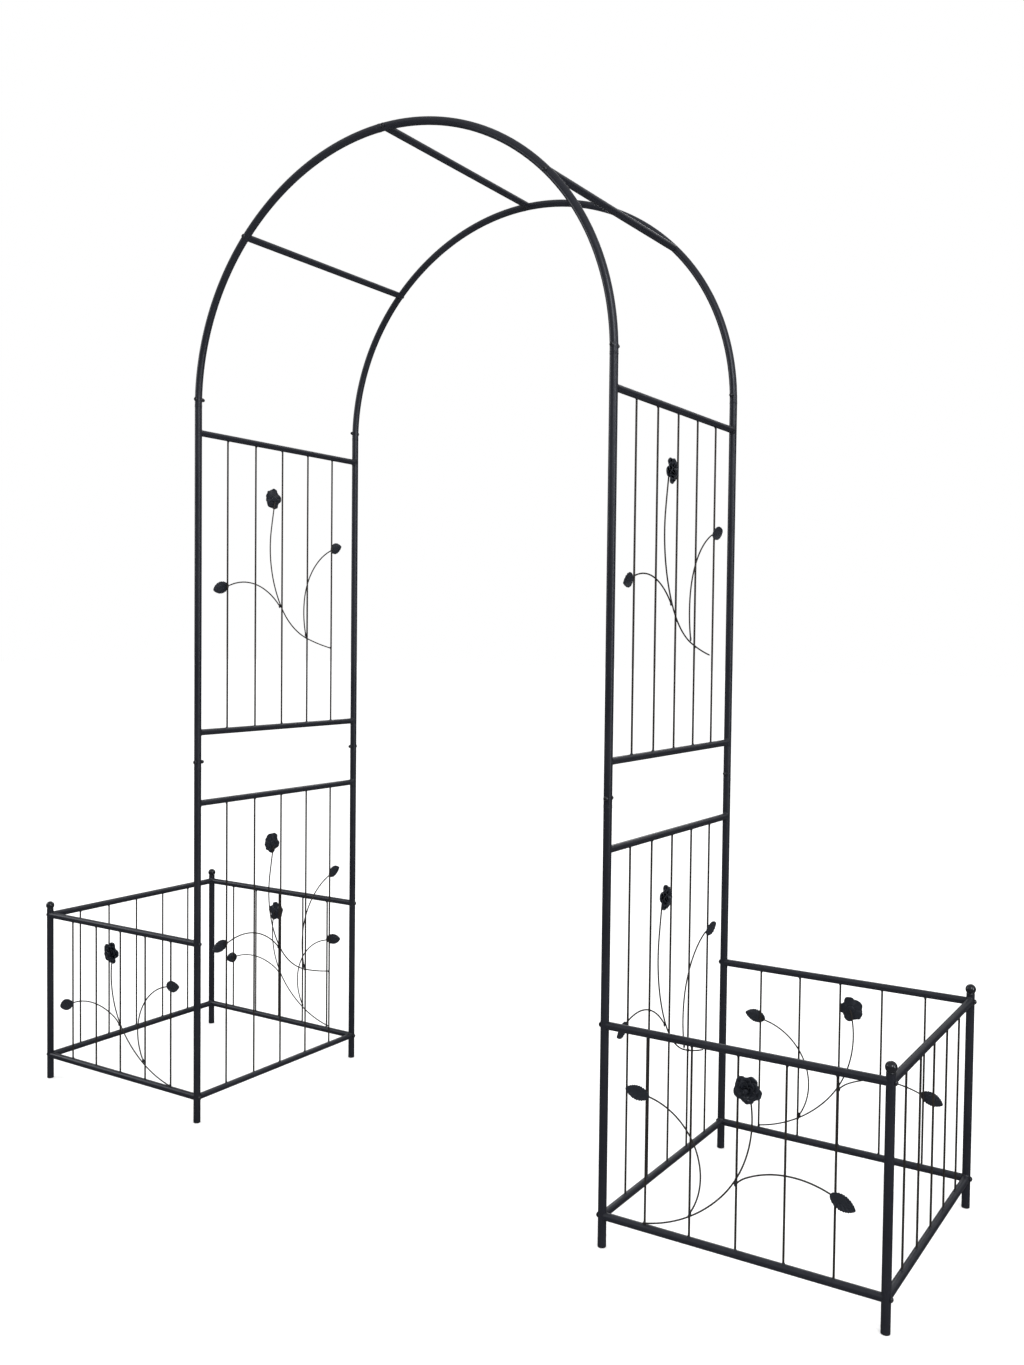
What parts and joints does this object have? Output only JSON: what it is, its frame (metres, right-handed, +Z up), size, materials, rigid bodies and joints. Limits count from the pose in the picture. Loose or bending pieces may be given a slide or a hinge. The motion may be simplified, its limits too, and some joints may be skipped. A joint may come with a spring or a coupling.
{
  "type": "garden trellis arch with side planters",
  "caption": "Round-headed garden arch of bolted steel tube, with wire trellis sides, climbing-rose ornaments and an open planter frame on each side.",
  "frame": {"origin": "on the ground, at the middle of the footprint", "axes": "+Z up, +X along the span from the left planter to the right one, +Y from the front arch to the back arch"},
  "size_m": [2.1156, 0.5866, 2.1428],
  "materials": {
    "powder_coat": "satin charcoal powder coat",
    "wire_coat": "satin near-black powder coat on thin wire",
    "rose_coat": "satin blue-black powder coat on stamped sheet",
    "finial_coat": "glossier black powder coat",
    "foot_cap": "worn satin charcoal powder coat",
    "fastener": "semi-gloss black",
    "inner_steel": "black oxide, out of sight"
  },
  "bodies": {
    "root": {"lower_post_front_left": "powder_coat", "lower_post_back_left": "powder_coat", "lower_post_front_right": "powder_coat", "lower_post_back_right": "powder_coat", "upper_post_front_left": "powder_coat", "upper_post_back_left": "powder_coat", "upper_post_front_right": "powder_coat", "upper_post_back_right": "powder_coat", "corner_post_front_left": "powder_coat", "corner_post_back_left": "powder_coat", "corner_post_front_right": "powder_coat", "corner_post_back_right": "powder_coat", "arch_tube_front_left": "powder_coat", "arch_tube_back_left": "powder_coat", "arch_tube_front_right": "powder_coat", "arch_tube_back_right": "powder_coat", "arch_crossbar_left": "powder_coat", "arch_crossbar_apex": "powder_coat", "arch_crossbar_right": "powder_coat", "lower_ladder_bottom_bar_left": "powder_coat", "lower_ladder_bottom_bar_right": "powder_coat", "upper_ladder_bottom_bar_left": "powder_coat", "upper_ladder_bottom_bar_right": "powder_coat", "lower_ladder_top_bar_left": "powder_coat", "lower_ladder_top_bar_right": "powder_coat", "upper_ladder_top_bar_left": "powder_coat", "upper_ladder_top_bar_right": "powder_coat", "planter_bottom_rail_front_left": "powder_coat", "planter_bottom_rail_back_left": "powder_coat", "planter_bottom_rail_front_right": "powder_coat", "planter_bottom_rail_back_right": "powder_coat", "planter_top_rail_front_left": "powder_coat", "planter_top_rail_back_left": "powder_coat", "planter_top_rail_front_right": "powder_coat", "planter_top_rail_back_right": "powder_coat", "planter_end_bottom_rail_left": "powder_coat", "planter_end_bottom_rail_right": "powder_coat", "planter_end_top_rail_left": "powder_coat", "planter_end_top_rail_right": "powder_coat", "ladder_wires_left": "wire_coat", "ladder_wires_right": "wire_coat", "planter_wires_left": "wire_coat", "planter_wires_right": "wire_coat", "ladder_rose_stems_left": "wire_coat", "ladder_rose_stems_right": "wire_coat", "planter_rose_stems_left": "wire_coat", "planter_rose_stems_right": "wire_coat", "rose_leaves_left": "rose_coat", "rose_leaves_right": "rose_coat", "rose_outer_petals": "rose_coat", "rose_inner_petals": "rose_coat", "rose_buds": "rose_coat", "ball_finials": "finial_coat", "foot_caps": "foot_cap", "joint_sleeves": "inner_steel", "threaded_inserts": "inner_steel", "joint_bolts": "fastener", "joint_nuts": "fastener", "crossbar_screws": "fastener", "planter_screws": "fastener"}
  },
  "joints": []
}
